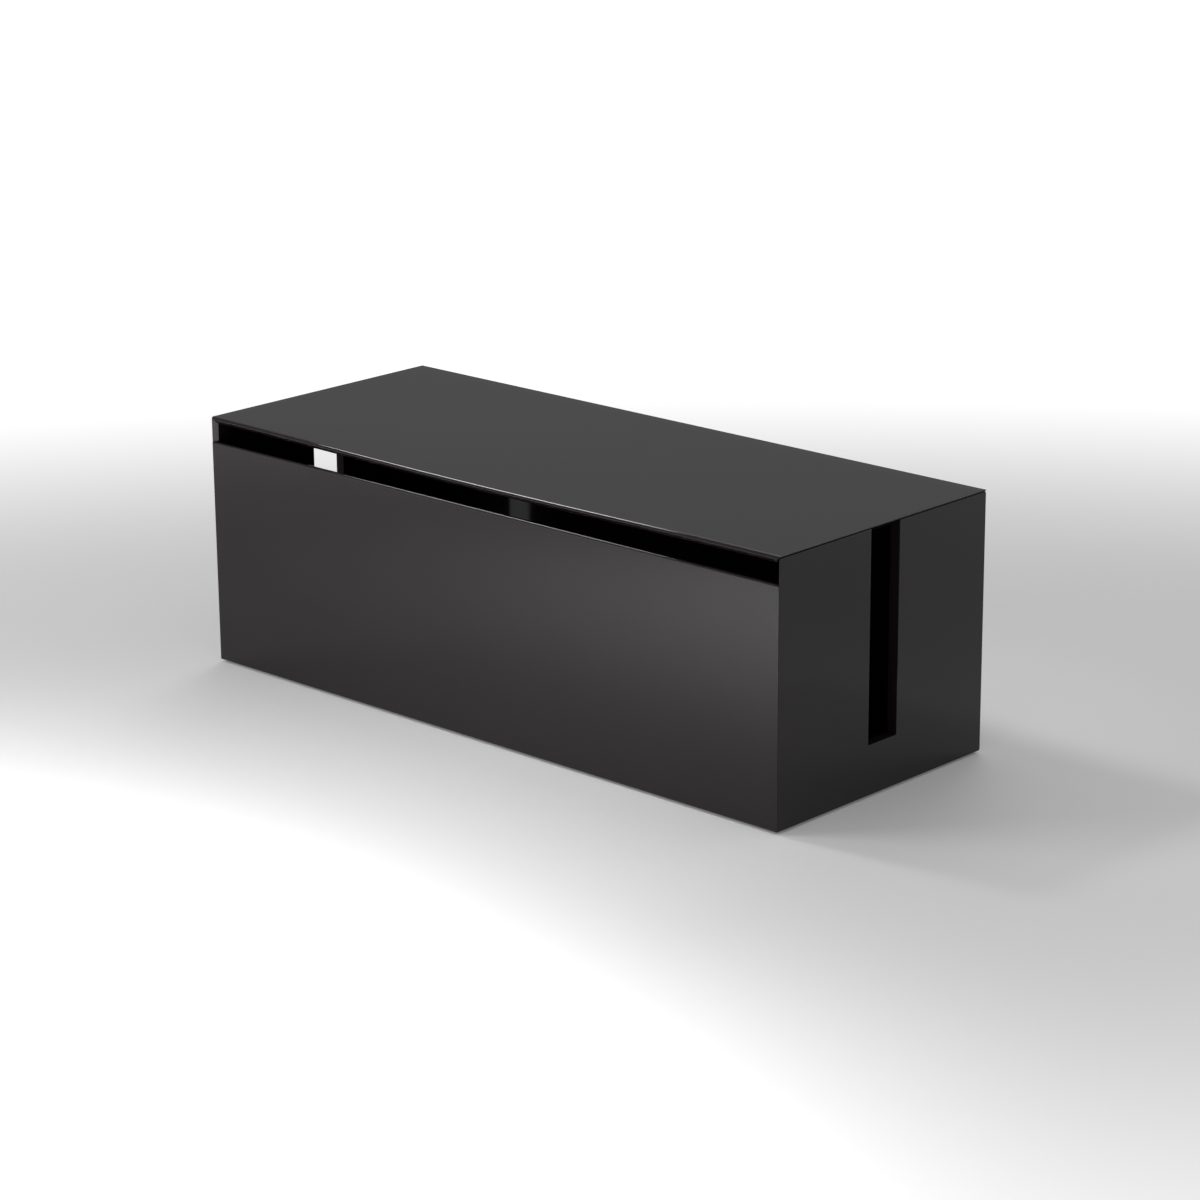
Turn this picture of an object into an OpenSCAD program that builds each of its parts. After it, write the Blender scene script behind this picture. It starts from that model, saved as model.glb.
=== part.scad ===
// Cable management box: four mitred wall panels bonded round a base tray, with a lift-off lid.
// +X runs along the box, -Y is the front and +Z is up. All lengths are in millimetres.
// The origin is the centre of the footprint, on the surface that the feet stand on.

/* [Overall] */
// Length of the box, from side to side
box_length = 405; // [250:1:600]
// Depth of the box, from front to back
box_depth = 160; // [100:1:250]
// Height from the table to the top of the lid
box_height = 140; // [90:1:200]

/* [Wall panels] */
// Thickness of the front, back and side panels
wall_thickness = 2.5; // [1.8:0.1:4]
// Height of the opening between the front panel and the lid
front_gap = 10.6; // [5:0.1:30]
// Radius on the two upper edges of the front panel, at most half its thickness
front_edge_round = 1; // [0.2:0.1:2]
// Radius on the upper and lower corners at the back of the box
back_corner_round = 1; // [0.2:0.1:2]
// Width of the adhesive line between bonded faces
bond_gap = 0.05; // [0.02:0.01:0.15]

/* [Corner rails] */
// Thickness of the upright rails that back up the mitred corners
rail_thickness = 2; // [1:0.1:4]
// How far the rails stand in from the side panels
rail_width = 5; // [3:0.5:12]
// Distance from the front panel's upper edge down to the top of the rails
rail_top_drop = 6; // [2:0.5:20]

/* [Cable slots] */
// Width of the slot in each side panel
slot_width = 22; // [10:0.5:50]
// Height from the table to the sill of the slots
slot_sill = 28; // [20:0.5:60]
// Thickness of the collar that lines each slot
collar_thickness = 2.5; // [1:0.1:4]
// How far the collar stands in from the side panel
collar_width = 3.5; // [1:0.1:8]

/* [Base tray] */
// Thickness of the floor
floor_thickness = 2.5; // [2:0.1:5]
// Height of the rim above the floor
rim_height = 8; // [4:0.5:14]
// Thickness of the rim
rim_thickness = 2; // [1.2:0.1:4]

/* [Feet] */
// Diameter of a foot
foot_diameter = 14; // [8:0.5:24]
// How far the feet hold the box off the table
foot_stand = 1.5; // [1:0.1:5]
// Depth of the recess that each foot is bonded into
foot_seat = 1; // [0.5:0.1:1.5]
// Radial clearance of a foot in its recess
foot_clearance = 0.2; // [0.1:0.05:0.5]
// Height of the bevel round the bottom of a foot
foot_bevel = 0.5; // [0.2:0.1:0.8]
// Distance from a side of the box to the centre of a foot
foot_inset_x = 22; // [18:0.5:60]
// Distance from the front or back to the centre of a foot
foot_inset_y = 20; // [18:0.5:45]

/* [Lid] */
// Thickness of the lid
lid_thickness = 3.4; // [2:0.1:6]
// Radius on the upper front edge of the lid, at most its thickness
lid_front_round = 1.5; // [0.3:0.1:3]
// How far the front of the lid slopes back from its rounded edge to its underside
lid_front_undercut = 1.5; // [0.5:0.1:3]
// Upright strip left on the lid's mitred edges
lid_edge_land = 0.5; // [0.2:0.1:1]
// Height of the parting line between the lid and the panels
parting_line = 0.4; // [0.2:0.1:0.8]
// Gap between the lid and the mitred edges it rests on
lid_seat_gap = 0.1; // [0.05:0.05:0.3]

/* [Lid lugs] */
// Length of each lug that locates the lid
lug_length = 14; // [6:0.5:30]
// Thickness of each lug
lug_thickness = 2.5; // [1.5:0.1:4]
// How far the lugs hang below the lid
lug_drop = 6; // [3:0.5:12]
// Clearance between a lug and the panel or collar beside it
lug_clearance = 0.5; // [0.3:0.1:1]

/* [Hidden] */

$fn = 96;
overlap = 0.5;
arc_steps = 6;
// Narrowest flat kept between two rounded edges
flat_left = 0.05;
shell_color = [0.17, 0.15, 0.15];
foot_color = [0.1, 0.1, 0.1];

half_length = box_length / 2;
half_depth = box_depth / 2;
panel_bottom = foot_stand;
lid_underside = box_height - lid_thickness;
front_panel_top = lid_underside - front_gap;
// A full round is the most that the panel can take, and a quarter round the most that the lid can
front_panel_round = min(front_edge_round, wall_thickness / 2 - flat_left);
lid_round = min(lid_front_round, lid_thickness - flat_left);
// Height at which the plane of the lid's mitre reaches the outer face of the box
mitre_top = box_height - lid_edge_land;
mitre_offset = bond_gap * sqrt(2);
// Top of the outer faces of the side and back panels
wall_top = mitre_top - lid_seat_gap - parting_line;
// Ends of the side panels, from the middle of the box
side_panel_end = half_depth - mitre_offset;

inner_length = box_length - 2 * wall_thickness;
inner_depth = box_depth - 2 * wall_thickness;
floor_top = panel_bottom + floor_thickness;
rim_top = floor_top + rim_height;
rail_bottom = rim_top + bond_gap;
rail_top = front_panel_top - rail_top_drop;
collar_top = lid_underside - lid_seat_gap;
collar_half = slot_width / 2 + collar_thickness;

// Points of an arc about a centre, from one angle to another
function arc(centre, radius, from, to) = [
    for (step = [0 : arc_steps])
        let (angle = from + (to - from) * step / arc_steps)
            centre + radius * [cos(angle), sin(angle)]
];

// Outline of a wall panel's upper edge: inward distance from the outer face against height.
// The edge is cut at 45 degrees to meet the lid, and its outer corner opens the parting line.
function mitred_panel_outline() = [
    [0, panel_bottom],
    [wall_thickness, panel_bottom],
    [wall_thickness, mitre_top - lid_seat_gap - wall_thickness],
    [parting_line, wall_top],
    [0, wall_top]
];

// Points on the other side of the middle of the box, in the opposite order
function mirrored(points) = [
    for (i = [len(points) - 1 : -1 : 0])
        [-points[i][0], points[i][1]]
];

// Lower and upper corner of a wall's face, rounded, at a distance from the middle of the box
function rounded_end(distance) = concat(
    arc([distance - back_corner_round, panel_bottom + back_corner_round], back_corner_round, -90, 0),
    arc([distance - back_corner_round, wall_top - back_corner_round], back_corner_round, 0, 90)
);

// Face of a side panel: rounded corners at the back, square ones at the front
function side_panel_face() = concat(
    rounded_end(side_panel_end),
    [[-half_depth, wall_top], [-half_depth, panel_bottom]]
);

// Face of the back panel: rounded corners at both ends
function back_panel_face() = concat(
    rounded_end(half_length),
    mirrored(rounded_end(half_length))
);

// Outline of the front panel: inward distance from the outer face against height
function front_panel_outline() = concat(
    [[0, panel_bottom], [wall_thickness, panel_bottom]],
    arc([wall_thickness - front_panel_round, front_panel_top - front_panel_round], front_panel_round, 0, 90),
    arc([front_panel_round, front_panel_top - front_panel_round], front_panel_round, 90, 180)
);

// Extrudes an outline of depth against height along X, centred on the box
module along_x(length) {
    rotate([90, 0, 90])
        linear_extrude(length, center = true)
            children();
}

// Extrudes an outline of length against height along Y, centred on the box
module along_y(length) {
    rotate([90, 0, 0])
        linear_extrude(length, center = true)
            children();
}

// Plan of a front or back panel, with a 45 degree mitre at each end
module long_panel_plan() {
    polygon([
        [-half_length, -half_depth],
        [half_length, -half_depth],
        [half_length - wall_thickness, -half_depth + wall_thickness],
        [-half_length + wall_thickness, -half_depth + wall_thickness]
    ]);
}

// Plan of the right side panel, mitred to leave the adhesive line at both ends
module side_panel_plan() {
    inner = side_panel_end - wall_thickness;
    polygon([
        [half_length, -side_panel_end],
        [half_length, side_panel_end],
        [half_length - wall_thickness, inner],
        [half_length - wall_thickness, -inner]
    ]);
}

// Right side panel, at +X: mitred wall, slot with its collar, and the two corner rails
module side_panel() {
    color(shell_color)
    difference() {
        union() {
            intersection() {
                linear_extrude(box_height)
                    side_panel_plan();
                along_y(box_depth)
                    translate([half_length, 0])
                        mirror([1, 0])
                            polygon(mitred_panel_outline());
                along_x(box_length)
                    polygon(side_panel_face());
            }
            slot_collar();
            for (side = [-1, 1])
                corner_rail(side);
        }
        slot_cut();
    }
}

// Solid block that the slot is cut through, standing in from the right side panel
module slot_collar() {
    sill_bottom = slot_sill - collar_thickness;
    translate([half_length - wall_thickness - collar_width, -collar_half, sill_bottom])
        cube([collar_width + overlap, 2 * collar_half, collar_top - sill_bottom]);
}

// The slot, open at its upper end so that a cable can be laid in from above
module slot_cut() {
    translate([half_length - wall_thickness - collar_width - overlap, -slot_width / 2, slot_sill])
        cube([wall_thickness + collar_width + 2 * overlap, slot_width, box_height]);
}

// Upright rail behind the front (side = -1) or back (side = 1) panel's end
module corner_rail(side) {
    rail_middle = side * (half_depth - wall_thickness - bond_gap - rail_thickness / 2);
    translate([half_length - wall_thickness - rail_width, rail_middle - rail_thickness / 2, rail_bottom])
        cube([rail_width + overlap, rail_thickness, rail_top - rail_bottom]);
}

module right_side_panel() {
    side_panel();
}

module left_side_panel() {
    mirror([1, 0, 0])
        side_panel();
}

// Front panel: mitred ends, and rounded edges along the opening below the lid
module front_panel() {
    color(shell_color)
    intersection() {
        linear_extrude(box_height)
            long_panel_plan();
        along_x(box_length)
            translate([-half_depth, 0])
                polygon(front_panel_outline());
    }
}

// Back panel: mitred ends, and a mitred upper edge that the lid rests on
module back_panel() {
    color(shell_color)
    mirror([0, 1, 0])
        intersection() {
            linear_extrude(box_height)
                long_panel_plan();
            along_x(box_length)
                translate([-half_depth, 0])
                    polygon(mitred_panel_outline());
            along_y(box_depth)
                polygon(back_panel_face());
        }
}

// Base tray: a floor with a rim that the four walls are bonded to
module base_tray() {
    tray_length = inner_length - 2 * bond_gap;
    tray_depth = inner_depth - 2 * bond_gap;
    color(shell_color)
    difference() {
        translate([-tray_length / 2, -tray_depth / 2, panel_bottom])
            cube([tray_length, tray_depth, floor_thickness + rim_height]);
        translate([-tray_length / 2 + rim_thickness, -tray_depth / 2 + rim_thickness, floor_top])
            cube([tray_length - 2 * rim_thickness, tray_depth - 2 * rim_thickness, rim_height + overlap]);
        for (side_x = [-1, 1], side_y = [-1, 1])
            at_foot(side_x, side_y)
                translate([0, 0, panel_bottom - overlap])
                    cylinder(d = foot_diameter + 2 * foot_clearance, h = foot_seat + overlap);
    }
}

// Places its children at a foot: side_x -1 is left, side_y -1 is front
module at_foot(side_x, side_y) {
    translate([side_x * (half_length - foot_inset_x), side_y * (half_depth - foot_inset_y), 0])
        children();
}

// Round foot, bevelled at the bottom and bonded into its recess
module foot(side_x, side_y) {
    foot_height = foot_stand + foot_seat - bond_gap;
    color(foot_color)
    at_foot(side_x, side_y) {
        cylinder(d1 = foot_diameter - 2 * foot_bevel, d2 = foot_diameter, h = foot_bevel);
        translate([0, 0, foot_bevel])
            cylinder(d = foot_diameter, h = foot_height - foot_bevel);
    }
}

// Side view of the lid: rounded and undercut at the front, mitred at the back
function lid_depth_outline() = concat(
    arc([-half_depth + lid_round, box_height - lid_round], lid_round, 90, 180),
    [
        [-half_depth + lid_front_undercut, lid_underside],
        [half_depth - lid_thickness + lid_edge_land, lid_underside],
        [half_depth, mitre_top],
        [half_depth, box_height]
    ]
);

// Front view of the lid: mitred at both ends
function lid_length_outline() = [
    for (point = [[-1, box_height, 0], [-1, mitre_top, 0], [-1, lid_underside, lid_thickness - lid_edge_land],
                  [1, lid_underside, lid_thickness - lid_edge_land], [1, mitre_top, 0], [1, box_height, 0]])
        [point[0] * (half_length - point[2]), point[1]]
];

// Lid: one plate over the whole box, with four lugs that drop in beside the slot collars
module lid() {
    color(shell_color) {
        intersection() {
            along_x(box_length)
                polygon(lid_depth_outline());
            along_y(box_depth)
                polygon(lid_length_outline());
        }
        for (side_x = [-1, 1], side_y = [-1, 1])
            lid_lug(side_x, side_y);
    }
}

// One locating lug, inside a side panel and beside its slot collar
module lid_lug(side_x, side_y) {
    middle_x = half_length - wall_thickness - lug_clearance - lug_thickness / 2;
    middle_y = collar_half + lug_clearance + lug_length / 2;
    translate([side_x * middle_x, side_y * middle_y, lid_underside + (overlap - lug_drop) / 2])
        cube([lug_thickness, lug_length, lug_drop + overlap], center = true);
}

base_tray();
front_panel();
back_panel();
left_side_panel();
right_side_panel();
lid();
foot(-1, -1);  // foot_front_left
foot(1, -1);  // foot_front_right
foot(-1, 1);  // foot_back_left
foot(1, 1);  // foot_back_right
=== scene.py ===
"""Looks of the cable management box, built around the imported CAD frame. Units are metres."""

from math import cos, pi, radians, sin

import bmesh
import bpy
from mathutils import Matrix, Vector


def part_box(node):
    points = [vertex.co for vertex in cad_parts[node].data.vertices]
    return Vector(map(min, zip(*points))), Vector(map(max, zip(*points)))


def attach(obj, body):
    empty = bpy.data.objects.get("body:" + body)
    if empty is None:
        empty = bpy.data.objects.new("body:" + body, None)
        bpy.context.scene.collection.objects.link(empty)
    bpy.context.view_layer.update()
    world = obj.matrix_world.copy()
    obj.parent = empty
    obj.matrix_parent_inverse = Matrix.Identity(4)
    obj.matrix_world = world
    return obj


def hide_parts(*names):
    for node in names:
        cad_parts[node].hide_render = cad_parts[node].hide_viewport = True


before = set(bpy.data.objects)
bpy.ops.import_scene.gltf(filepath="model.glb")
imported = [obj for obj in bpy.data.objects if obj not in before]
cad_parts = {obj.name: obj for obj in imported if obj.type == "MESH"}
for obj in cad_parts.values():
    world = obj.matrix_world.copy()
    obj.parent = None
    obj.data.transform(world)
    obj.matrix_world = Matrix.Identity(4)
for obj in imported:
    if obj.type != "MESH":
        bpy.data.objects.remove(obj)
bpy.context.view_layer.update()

MM = 0.001

# ---------------------------------------------------------------------------
# Camera: the photograph's viewing angle, in the row frame
# ---------------------------------------------------------------------------
CAMERA_PLACE = Vector((1.2530, -1.3212, 0.6210))
CAMERA_AZIMUTH = 43.22      # degrees to the right of the front
CAMERA_PITCH = 17.16        # degrees below the horizon
CAMERA_ROLL = -0.43         # degrees
CAMERA_LENS = 108           # mm
CAMERA_SENSOR = 36          # mm
CAMERA_CLIP = (0.05, 60)


def make_camera():
    data = bpy.data.cameras.new("camera")
    data.lens = CAMERA_LENS
    data.sensor_width = CAMERA_SENSOR
    data.clip_start, data.clip_end = CAMERA_CLIP
    camera = bpy.data.objects.new("camera", data)
    bpy.context.scene.collection.objects.link(camera)
    azimuth, pitch, roll = radians(CAMERA_AZIMUTH), radians(CAMERA_PITCH), radians(CAMERA_ROLL)
    forward = Vector((-sin(azimuth) * cos(pitch), cos(azimuth) * cos(pitch), -sin(pitch)))
    level = Vector((cos(azimuth), sin(azimuth), 0))
    right = level * cos(roll) + level.cross(forward) * sin(roll)
    up = right.cross(forward)
    turn = Matrix((right, up, -forward)).transposed()
    camera.matrix_world = Matrix.Translation(CAMERA_PLACE) @ turn.to_4x4()
    bpy.context.scene.camera = camera


make_camera()

# ---------------------------------------------------------------------------
# Materials
# ---------------------------------------------------------------------------
NOISE_RANGE = (0.3, 0.7)    # most of a noise lies between these values
PLAIN_SPECULAR = 0.5        # the shader's own value

SHELL_COLOR = (0.0138, 0.0098, 0.0120)
SHELL_IOR = 1.42
SHELL_ROUGHNESS = (0.050, 0.078)
SHELL_SHADES = (0.93, 1.07) # times the colour
CLOUD_WIDTH = 90 * MM       # clouds in the colour, left by the plastic's flow
SMUDGE_WIDTH = 35 * MM      # smudges in the gloss
WAVE_WIDTH = 50 * MM        # the slow waviness of a moulded sheet
WAVE_HEIGHT = 0.03 * MM
PEEL_WIDTH = 1.6 * MM       # orange peel
PEEL_HEIGHT = 0.0015 * MM

SATIN_ROUGHNESS = 0.36      # the faces inside the cable slots are left less polished
SATIN_SPECULAR = 0.02       # their fine texture keeps back most of the mirrored light
SLOT_HALF = 11.1 * MM       # they lie within this distance of the middle plane
SLOT_FLOOR = 27.9 * MM      # and between these two heights
SLOT_TOP = 136.5 * MM
SLOT_INSIDE = 190 * MM      # and between these two distances from the box's centre along X
SLOT_OUTSIDE = 202.4 * MM

SILICONE_COLOR = (0.03, 0.03, 0.03)
SILICONE_IOR = 1.41
SILICONE_ROUGHNESS = (0.62, 0.74)
SILICONE_SHADES = (0.8, 1.2)
GRAIN_WIDTH = 0.6 * MM
GRAIN_HEIGHT = 0.03 * MM
PATCH_WIDTH = 4 * MM        # patches in the silicone's roughness


class Nodes:
    """Short calls for building one node tree."""

    def __init__(self, tree):
        self.tree = tree
        tree.nodes.clear()

    def add(self, kind, **settings):
        node = self.tree.nodes.new(kind)
        for name, value in settings.items():
            setattr(node, name, value)
        return node

    def link(self, source, target):
        self.tree.links.new(source, target)

    def surface(self, shader, kind="ShaderNodeOutputMaterial"):
        """Ends the tree with this shader."""
        self.link(shader, self.add(kind).inputs["Surface"])

    def math(self, operation, *values):
        """A Math node on sockets or numbers."""
        node = self.add("ShaderNodeMath", operation=operation)
        for socket, value in zip(node.inputs, values):
            if isinstance(value, (int, float)):
                socket.default_value = value
            else:
                self.link(value, socket)
        return node.outputs[0]

    def axes(self, vector):
        """The X, Y and Z of a vector."""
        node = self.add("ShaderNodeSeparateXYZ")
        self.link(vector, node.inputs[0])
        return node.outputs["X"], node.outputs["Y"], node.outputs["Z"]

    def noise(self, coordinates, width, detail=2.0, roughness=0.5):
        """Noise whose features are about this wide."""
        node = self.add("ShaderNodeTexNoise")
        node.inputs["Scale"].default_value = 1 / width
        node.inputs["Detail"].default_value = detail
        node.inputs["Roughness"].default_value = roughness
        self.link(coordinates, node.inputs["Vector"])
        return node.outputs["Fac"]

    def ramp(self, value, start, end, low, high, curve="SMOOTHSTEP"):
        """Goes from low to high as value goes from start to end."""
        node = self.add("ShaderNodeMapRange", interpolation_type=curve)
        limits = {"From Min": start, "From Max": end, "To Min": low, "To Max": high}
        for name, number in limits.items():
            node.inputs[name].default_value = number
        self.link(value, node.inputs["Value"])
        return node.outputs["Result"]

    def spread(self, noise, low, high):
        """Spreads a noise from low to high."""
        return self.ramp(noise, *NOISE_RANGE, low, high, curve="LINEAR")

    def shade(self, noise, color, low, high):
        """A colour that a noise spreads from low to high times itself."""
        node = self.add("ShaderNodeMix", data_type="RGBA")
        node.inputs["A"].default_value = (*(c * low for c in color), 1)
        node.inputs["B"].default_value = (*(c * high for c in color), 1)
        self.link(self.spread(noise, 0, 1), node.inputs["Factor"])
        return node.outputs[2]

    def bump(self, noise, height, under=None):
        """Raises the surface by this height where the noise is 1, on top of another bump."""
        node = self.add("ShaderNodeBump")
        node.inputs["Distance"].default_value = height
        node.inputs["Strength"].default_value = 1
        self.link(noise, node.inputs["Height"])
        if under is not None:
            self.link(under, node.inputs["Normal"])
        return node.outputs["Normal"]


def new_material(name):
    material = bpy.data.materials.new(name)
    material.use_nodes = True
    return material, Nodes(material.node_tree)


def slot_faces(nodes, place):
    """1 on the faces inside the two cable slots, 0 elsewhere."""
    x, y, z = nodes.axes(place)
    x, y = nodes.math("ABSOLUTE", x), nodes.math("ABSOLUTE", y)
    tests = (
        ("GREATER_THAN", x, SLOT_INSIDE),
        ("LESS_THAN", x, SLOT_OUTSIDE),
        ("LESS_THAN", y, SLOT_HALF),
        ("GREATER_THAN", z, SLOT_FLOOR),
        ("LESS_THAN", z, SLOT_TOP),
    )
    inside = 1
    for test in tests:
        inside = nodes.math("MULTIPLY", nodes.math(*test), inside)
    return inside


def shell_material():
    """Gloss moulded plastic: faint flow clouding, uneven gloss, orange peel and a slow waviness."""
    material, nodes = new_material("shell_gloss_plastic")
    place = nodes.add("ShaderNodeTexCoord").outputs["Object"]
    shader = nodes.add("ShaderNodeBsdfPrincipled")
    shader.inputs["IOR"].default_value = SHELL_IOR
    clouds = nodes.noise(place, CLOUD_WIDTH, detail=3)
    nodes.link(nodes.shade(clouds, SHELL_COLOR, *SHELL_SHADES), shader.inputs["Base Color"])
    smudges = nodes.noise(place, SMUDGE_WIDTH, detail=4, roughness=0.6)
    gloss = nodes.spread(smudges, *SHELL_ROUGHNESS)
    slot = slot_faces(nodes, place)
    satin = nodes.math("MULTIPLY", slot, SATIN_ROUGHNESS)
    nodes.link(nodes.math("MAXIMUM", gloss, satin), shader.inputs["Roughness"])
    specular = nodes.math("MULTIPLY_ADD", slot, SATIN_SPECULAR - PLAIN_SPECULAR, PLAIN_SPECULAR)
    nodes.link(specular, shader.inputs["Specular IOR Level"])
    wave = nodes.bump(nodes.noise(place, WAVE_WIDTH, detail=1), WAVE_HEIGHT)
    peel = nodes.bump(nodes.noise(place, PEEL_WIDTH), PEEL_HEIGHT, under=wave)
    nodes.link(peel, shader.inputs["Normal"])
    nodes.surface(shader.outputs["BSDF"])
    return material


def silicone_material():
    """Matt black silicone with a fine grain."""
    material, nodes = new_material("foot_silicone")
    place = nodes.add("ShaderNodeTexCoord").outputs["Object"]
    shader = nodes.add("ShaderNodeBsdfPrincipled")
    shader.inputs["IOR"].default_value = SILICONE_IOR
    grain = nodes.noise(place, GRAIN_WIDTH, detail=3)
    nodes.link(nodes.shade(grain, SILICONE_COLOR, *SILICONE_SHADES), shader.inputs["Base Color"])
    patches = nodes.noise(place, PATCH_WIDTH)
    nodes.link(nodes.spread(patches, *SILICONE_ROUGHNESS), shader.inputs["Roughness"])
    nodes.link(nodes.bump(grain, GRAIN_HEIGHT), shader.inputs["Normal"])
    nodes.surface(shader.outputs["BSDF"])
    return material


SHELL = shell_material()
SILICONE = silicone_material()

# ---------------------------------------------------------------------------
# CAD nodes: their shape stays, their edges are broken and their facets smoothed
# ---------------------------------------------------------------------------
EDGE_BREAK = 0.15 * MM
FOOT_BREAK = 0.3 * MM
BREAK_STEPS = 3
EDGE_WEIGHT = 0.5           # the rims of the cable slots are broken twice as wide as other edges
RIM_HALF = 1.02 * SLOT_HALF # the rims lie within this distance of the middle plane
RIM_FLOOR = 0.99 * SLOT_FLOOR
SHARP_ANGLE = radians(32)
FLAT_ANGLE = radians(1)     # faces that meet at less than this are one
SHORT_EDGE = 0.6 * MM       # the facets of a rounded corner are shorter
JOIN_DISTANCE = 0.002 * MM  # vertices that lie closer are one


class Steps(Nodes):
    """Geometry nodes that change one mesh step by step."""

    def __init__(self, name):
        group = bpy.data.node_groups.new(name, "GeometryNodeTree")
        group.interface.new_socket("Geometry", in_out="INPUT", socket_type="NodeSocketGeometry")
        group.interface.new_socket("Geometry", in_out="OUTPUT", socket_type="NodeSocketGeometry")
        super().__init__(group)
        self.mesh = self.add("NodeGroupInput").outputs[0]

    def step(self, kind, **settings):
        node = self.add(kind, **settings)
        self.link(self.mesh, node.inputs[0])
        self.mesh = node.outputs[0]
        return node

    def end(self):
        self.link(self.mesh, self.add("NodeGroupOutput").inputs[0])
        return self.tree


def joining_group():
    """Joins the split vertices of an imported mesh and drops its stored normals."""
    steps = Steps("join")
    join = steps.step("GeometryNodeMergeByDistance")
    join.inputs["Distance"].default_value = JOIN_DISTANCE
    forget = steps.step("GeometryNodeRemoveAttribute")
    forget.inputs["Name"].default_value = "custom_normal"
    return steps.end()


def edge_group():
    """Shades smooth except over sharp edges, and marks the long sharp edges for the bevel."""
    steps = Steps("edges")
    angle = steps.add("GeometryNodeInputMeshEdgeAngle").outputs["Unsigned Angle"]
    sharp = steps.math("GREATER_THAN", angle, SHARP_ANGLE)
    steps.step("GeometryNodeSetShadeSmooth", domain="FACE")
    crease = steps.step("GeometryNodeSetShadeSmooth", domain="EDGE")
    crease.inputs["Shade Smooth"].default_value = False
    steps.link(sharp, crease.inputs["Selection"])
    ends = steps.add("GeometryNodeInputMeshEdgeVertices")
    length = steps.add("ShaderNodeVectorMath", operation="DISTANCE")
    steps.link(ends.outputs["Position 1"], length.inputs[0])
    steps.link(ends.outputs["Position 2"], length.inputs[1])
    long_edge = steps.math("GREATER_THAN", length.outputs["Value"], SHORT_EDGE)
    _, y, z = steps.axes(steps.add("GeometryNodeInputPosition").outputs[0])
    near = steps.math("LESS_THAN", steps.math("ABSOLUTE", y), RIM_HALF)
    high = steps.math("GREATER_THAN", z, RIM_FLOOR)
    rim = steps.math("MULTIPLY", near, high)
    width = steps.math("MULTIPLY_ADD", rim, 1 - EDGE_WEIGHT, EDGE_WEIGHT)
    weight = steps.math("MULTIPLY", steps.math("MULTIPLY", sharp, long_edge), width)
    marks = steps.step("GeometryNodeStoreNamedAttribute", data_type="FLOAT", domain="EDGE")
    marks.inputs["Name"].default_value = "bevel_weight_edge"
    steps.link(weight, marks.inputs["Value"])
    return steps.end()


JOINING = joining_group()
EDGES = edge_group()


def dress(piece, material, edge_break):
    """Gives a CAD node its material, joined faces and broken edges."""
    piece.data.materials.clear()
    piece.data.materials.append(material)
    piece.modifiers.new("join", "NODES").node_group = JOINING
    flatten = piece.modifiers.new("flat_faces", "DECIMATE")
    flatten.decimate_type = "DISSOLVE"
    flatten.angle_limit = FLAT_ANGLE
    piece.modifiers.new("edges", "NODES").node_group = EDGES
    bevel = piece.modifiers.new("edge_break", "BEVEL")
    bevel.width = edge_break / EDGE_WEIGHT
    bevel.segments = BREAK_STEPS
    bevel.limit_method = "WEIGHT"
    bevel.use_clamp_overlap = False
    bevel.harden_normals = True
    weld = piece.modifiers.new("close_corners", "WELD")
    weld.merge_threshold = JOIN_DISTANCE


for name in ("base_tray", "front_panel", "back_panel", "left_side_panel", "right_side_panel"):
    dress(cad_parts[name], SHELL, EDGE_BREAK)
for name in ("foot_front_left", "foot_front_right", "foot_back_left", "foot_back_right"):
    dress(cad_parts[name], SILICONE, FOOT_BREAK)

# ---------------------------------------------------------------------------
# Lid: the CAD plate with a smooth front edge that sags a little between its ends
# ---------------------------------------------------------------------------
LID_SAG = 1.3 * MM          # at the middle of the free front edge
SAG_CENTRE = -10 * MM       # along X
SAG_REACH = 198 * MM        # from the centre of the sag to where the edge lies level
LID_THICKNESS = 3.4 * MM
LID_LAND = 0.5 * MM         # upright strip above the mitred edges
LID_ROUND = 1.5 * MM        # radius of the upper front edge
LID_UNDERCUT = 1.5 * MM     # how far back the front of the underside lies
LID_CORNER = 0.15 * MM      # radius of the breaks along the lid's other edges
ROUND_STEPS = 8
LID_CELLS = (40, 16)        # along X and along Y
LINE_GAP = 0.25             # the least distance between two lines of the grid, in cells
LUG_DEPTH = 1 * MM          # only the lugs' vertices lie further than this below the plate
SAME_PLACE = 6              # decimals to which two places of a lug's edge are one
SAME_LEVEL = 7              # decimals to which two levels of the lid's edge are one


def sag(x, y, front, back):
    """How far the lid hangs down at a point of its plan."""
    along = min(abs(x - SAG_CENTRE) / SAG_REACH, 1)
    depth = (back - y) / (back - front)
    return LID_SAG * cos(pi / 2 * along) ** 2 * depth ** 2


def round_inset(radius, drop):
    """How far a rounded edge stands back, at a depth below its top."""
    return radius - (radius ** 2 - (radius - drop) ** 2) ** 0.5


def front_inset(drop):
    """Distance of the lid's front from its foremost line, at a depth below the top face."""
    if drop < LID_ROUND:
        return round_inset(LID_ROUND, drop)
    return LID_UNDERCUT * (drop - LID_ROUND) / (LID_THICKNESS - LID_ROUND)


def side_inset(drop):
    """The same for the mitred edges: a small break, an upright land and a slope of 45 degrees."""
    if drop < LID_CORNER:
        return round_inset(LID_CORNER, drop)
    return max(drop - LID_LAND, 0)


def lid_levels(top):
    """(height, front inset, side inset) of each ring of vertices, from the top face down."""
    drops = {LID_LAND, LID_THICKNESS}
    for i in range(ROUND_STEPS + 1):
        fall = 1 - cos(pi / 2 * i / ROUND_STEPS)
        drops |= {round(LID_ROUND * fall, SAME_LEVEL), round(LID_CORNER * fall, SAME_LEVEL)}
    return [(top - drop, front_inset(drop), side_inset(drop)) for drop in sorted(drops)]


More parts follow.
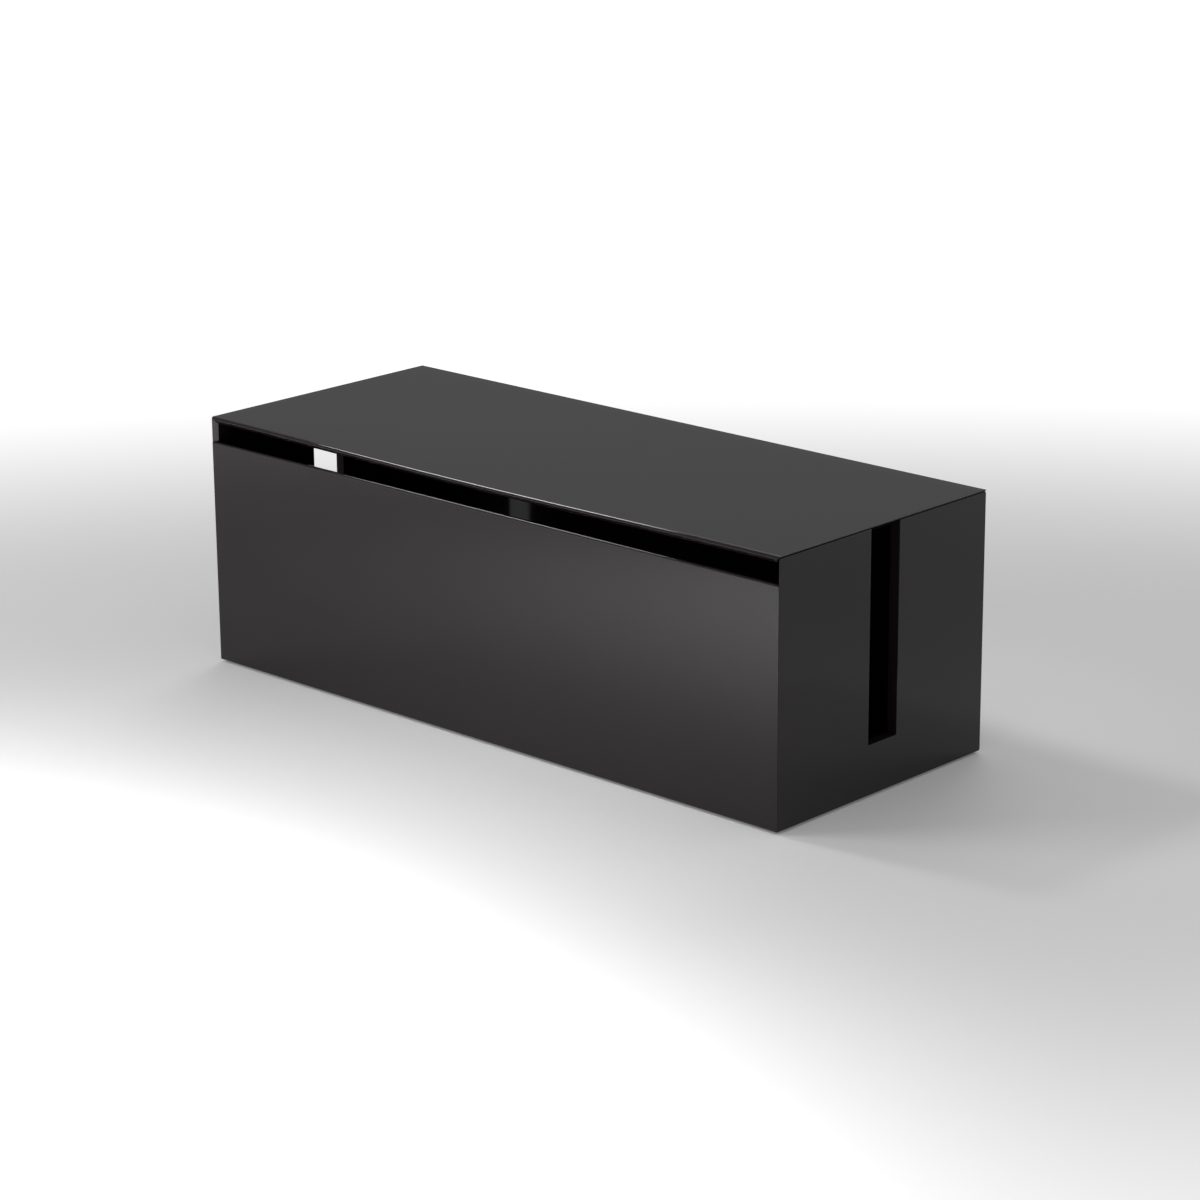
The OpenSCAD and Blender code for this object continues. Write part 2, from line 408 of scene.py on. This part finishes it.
def lug_boxes(node, underside):
    """The lowest and highest corners of the four lugs, read from the CAD lid."""
    below = [v.co for v in node.data.vertices if v.co.z < underside - LUG_DEPTH]
    boxes = []
    for side_x in (-1, 1):
        for side_y in (-1, 1):
            points = [p for p in below if p.x * side_x > 0 and p.y * side_y > 0]
            low = Vector(min(p[k] for p in points) for k in range(3))
            high = Vector(max(p[k] for p in points) for k in range(3))
            boxes.append((low, high))
    return boxes


def grid_lines(low, high, count, extra):
    """Evenly spaced values between low and high. The extra ones take the place of any near them."""
    cell = (high - low) / count
    even = [low + cell * i for i in range(1, count)]
    kept = [v for v in even if all(abs(v - e) > LINE_GAP * cell for e in extra)]
    return sorted(kept + list(extra))


def outline(across, along):
    """The outer places of a grid, counter-clockwise from above."""
    places = [(x, along[0]) for x in across]
    places += [(across[-1], y) for y in along[1:]]
    places += [(x, along[-1]) for x in reversed(across[:-1])]
    places += [(across[0], y) for y in reversed(along[1:-1])]
    return places


def border(grid):
    """The outer ring of a grid of vertices."""
    return [grid[row][column] for column, row in outline(range(len(grid[0])), range(len(grid)))]


def cells(grid):
    """The four corners of each cell, counter-clockwise from above."""
    for near, far in zip(grid, grid[1:]):
        for i in range(len(near) - 1):
            yield near[i], near[i + 1], far[i + 1], far[i]


def grow_lug(mesh, faces, low, high):
    """Moves the faces of the underside within a lug's box to its lowest point, and closes the sides."""
    inside = []
    for face in faces:
        centre = face.calc_center_median()
        if low.x < centre.x < high.x and low.y < centre.y < high.y:
            inside.append(face)
    lowered = {}
    for face in inside:
        for vert in face.verts:
            if vert not in lowered:
                lowered[vert] = mesh.verts.new((vert.co.x, vert.co.y, low.z))
    around = set(faces) - set(inside)
    for face in inside:
        mesh.faces.new([lowered[vert] for vert in face.verts])
        for loop in face.loops:
            if around.intersection(loop.edge.link_faces):
                start, end = loop.vert, loop.link_loop_next.vert
                mesh.faces.new((start, end, lowered[end], lowered[start]))
    bmesh.ops.delete(mesh, geom=inside, context="FACES")
    return [face for face in faces if face.is_valid]


def lid_mesh(node):
    """The lid's plate with its edges and lugs."""
    low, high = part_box("lid")
    lugs = lug_boxes(node, high.z - LID_THICKNESS)
    lug_xs = {round(corner.x, SAME_PLACE) for box in lugs for corner in box}
    lug_ys = {round(corner.y, SAME_PLACE) for box in lugs for corner in box}
    xs = grid_lines(low.x, high.x, LID_CELLS[0], lug_xs)
    ys = grid_lines(low.y, high.y, LID_CELLS[1], lug_ys)
    mesh = bmesh.new()

    def vertex(x, y, z):
        return mesh.verts.new((x, y, z - sag(x, y, low.y, high.y)))

    def lines(front, side):
        """The grid's lines, ended by the edges of one level."""
        return [low.x + side] + xs + [high.x - side], [low.y + front] + ys + [high.y - side]

    def flat_grid(z, front, side):
        across, along = lines(front, side)
        return [[vertex(x, y, z) for x in across] for y in along]

    def ring(z, front, side):
        return [vertex(x, y, z) for x, y in outline(*lines(front, side))]

    levels = lid_levels(high.z)
    upper = flat_grid(*levels[0])
    lower = flat_grid(*levels[-1])
    for cell in cells(upper):
        mesh.faces.new(cell)
    below = [mesh.faces.new(cell[::-1]) for cell in cells(lower)]
    rings = [border(upper)] + [ring(*level) for level in levels[1:-1]] + [border(lower)]
    for over, under in zip(rings, rings[1:]):
        for i in range(len(over)):
            j = (i + 1) % len(over)
            mesh.faces.new((over[i], under[i], under[j], over[j]))
    for lug in lugs:
        below = grow_lug(mesh, below, *lug)
    bmesh.ops.recalc_face_normals(mesh, faces=mesh.faces)
    data = bpy.data.meshes.new("lid_plate")
    mesh.to_mesh(data)
    mesh.free()
    for polygon in data.polygons:
        polygon.use_smooth = True
    data.set_sharp_from_angle(angle=SHARP_ANGLE)
    return data


def make_lid():
    data = lid_mesh(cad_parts["lid"])
    data.materials.append(SHELL)
    piece = bpy.data.objects.new("lid_plate", data)
    bpy.context.scene.collection.objects.link(piece)
    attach(piece, "lid")
    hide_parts("lid")


make_lid()

# ---------------------------------------------------------------------------
# Stage: pale floor, soft studio light
# ---------------------------------------------------------------------------
FLOOR_COLOR = (0.93, 0.93, 0.93, 1)
FLOOR_RADIUS = 12
FLOOR_SIDES = 96
FLOOR_GLOW = (0.08, 0.60)   # added for the camera and reflections: near the box, far off
GLOW_REACH = (0.50, 1.50)   # distances from the box between which the glow grows
GLOW_TURN = CAMERA_AZIMUTH  # its long way runs from left to right in the photograph's view
GLOW_SQUEEZE = 1.8          # across that way it grows this much faster
WHITE = (1, 1, 1, 1)
STUDIO_LIGHT = (0.22, 0.36) # the studio's walls at the horizon, and its ceiling
CEILING = (0.1, 0.5)        # sines of the heights between which the light grows
HORIZON_GLOW = 0.78         # added to the foot of the walls for the camera and reflections
HORIZON_HEIGHT = 0.09       # sine of the height above the horizon where it ends


def seen_rays(nodes):
    """1 for rays from the camera, a reflection or a clear surface, 0 for those that carry light."""
    path = nodes.add("ShaderNodeLightPath")
    seen = nodes.math("MAXIMUM", path.outputs["Is Camera Ray"], path.outputs["Is Glossy Ray"])
    return nodes.math("MAXIMUM", seen, path.outputs["Is Transmission Ray"])


def floor_material():
    """White paint, with a glow that shows to the camera and in reflections and lights nothing else."""
    material, nodes = new_material("floor_paint")
    paint = nodes.add("ShaderNodeBsdfDiffuse")
    paint.inputs["Color"].default_value = FLOOR_COLOR
    turned = nodes.add("ShaderNodeVectorRotate", rotation_type="Z_AXIS")
    turned.inputs["Angle"].default_value = radians(-GLOW_TURN)
    nodes.link(nodes.add("ShaderNodeTexCoord").outputs["Object"], turned.inputs["Vector"])
    squeezed = nodes.add("ShaderNodeVectorMath", operation="MULTIPLY")
    squeezed.inputs[1].default_value = (1, GLOW_SQUEEZE, 1)
    nodes.link(turned.outputs[0], squeezed.inputs[0])
    distance = nodes.add("ShaderNodeVectorMath", operation="LENGTH")
    nodes.link(squeezed.outputs[0], distance.inputs[0])
    strength = nodes.ramp(distance.outputs["Value"], *GLOW_REACH, *FLOOR_GLOW)
    glow = nodes.add("ShaderNodeEmission")
    nodes.link(nodes.math("MULTIPLY", seen_rays(nodes), strength), glow.inputs["Strength"])
    both = nodes.add("ShaderNodeAddShader")
    nodes.link(paint.outputs["BSDF"], both.inputs[0])
    nodes.link(glow.outputs["Emission"], both.inputs[1])
    nodes.surface(both.outputs["Shader"])
    return material


def make_floor():
    mesh = bmesh.new()
    bmesh.ops.create_circle(mesh, cap_ends=True, segments=FLOOR_SIDES, radius=FLOOR_RADIUS)
    data = bpy.data.meshes.new("floor")
    mesh.to_mesh(data)
    mesh.free()
    data.materials.append(floor_material())
    floor = bpy.data.objects.new("floor", data)
    bpy.context.scene.collection.objects.link(floor)


def make_world():
    """The studio's walls and ceiling, the same all round and brighter where they meet the floor."""
    world = bpy.data.worlds.new("studio")
    bpy.context.scene.world = world
    world.use_nodes = True
    nodes = Nodes(world.node_tree)
    light = nodes.add("ShaderNodeBackground")
    light.inputs["Color"].default_value = WHITE
    _, _, height = nodes.axes(nodes.add("ShaderNodeTexCoord").outputs["Generated"])
    glow = nodes.ramp(height, 0, HORIZON_HEIGHT, HORIZON_GLOW, 0)
    walls = nodes.ramp(height, *CEILING, *STUDIO_LIGHT)
    strength = nodes.math("MULTIPLY_ADD", seen_rays(nodes), glow, walls)
    nodes.link(strength, light.inputs["Strength"])
    nodes.surface(light.outputs["Background"], "ShaderNodeOutputWorld")


def place_lamp(name, data, place, target, power):
    data.energy = power
    lamp = bpy.data.objects.new(name, data)
    lamp.location = place
    toward = Vector(target) - Vector(place)
    lamp.rotation_euler = toward.to_track_quat("-Z", "Y").to_euler()
    lamp.visible_camera = False
    bpy.context.scene.collection.objects.link(lamp)
    return lamp


def soft_box(name, place, target, size, power):
    data = bpy.data.lights.new(name, "AREA")
    data.shape = "RECTANGLE"
    data.size, data.size_y = size
    return place_lamp(name, data, place, target, power)


def spot(name, place, target, cone, radius, power):
    data = bpy.data.lights.new(name, "SPOT")
    data.spot_size = radians(cone)
    data.spot_blend = 1
    data.shadow_soft_size = radius
    return place_lamp(name, data, place, target, power)


make_floor()
make_world()

key = soft_box("key", place=(-2.0, -2.0, 0.92), target=(0, 0, 0.05), size=(1.2, 1.2), power=28)
key.visible_glossy = False  # its double reflection would light the sill of a cable slot
# The floor behind the box, which the lid mirrors
soft_box("back_floor", place=(-1.5, 2.5, 2.0), target=(-1.5, 2.5, 0), size=(2, 2), power=24)
# The floor in front of the box, whose mirror image is the soft glow on the front panel
spot("front_floor", place=(0.25, -1.00, 1.6), target=(0.08, -0.73, 0), cone=40, radius=0.15, power=250)
# The thin light lines along the front edges of the lid and the front panel
spot("edge_light", place=(-0.785, -0.15, 1.0), target=(-0.03, 0.02, 0.14), cone=22, radius=0.14, power=20)

bpy.context.scene.view_settings.view_transform = "Standard"
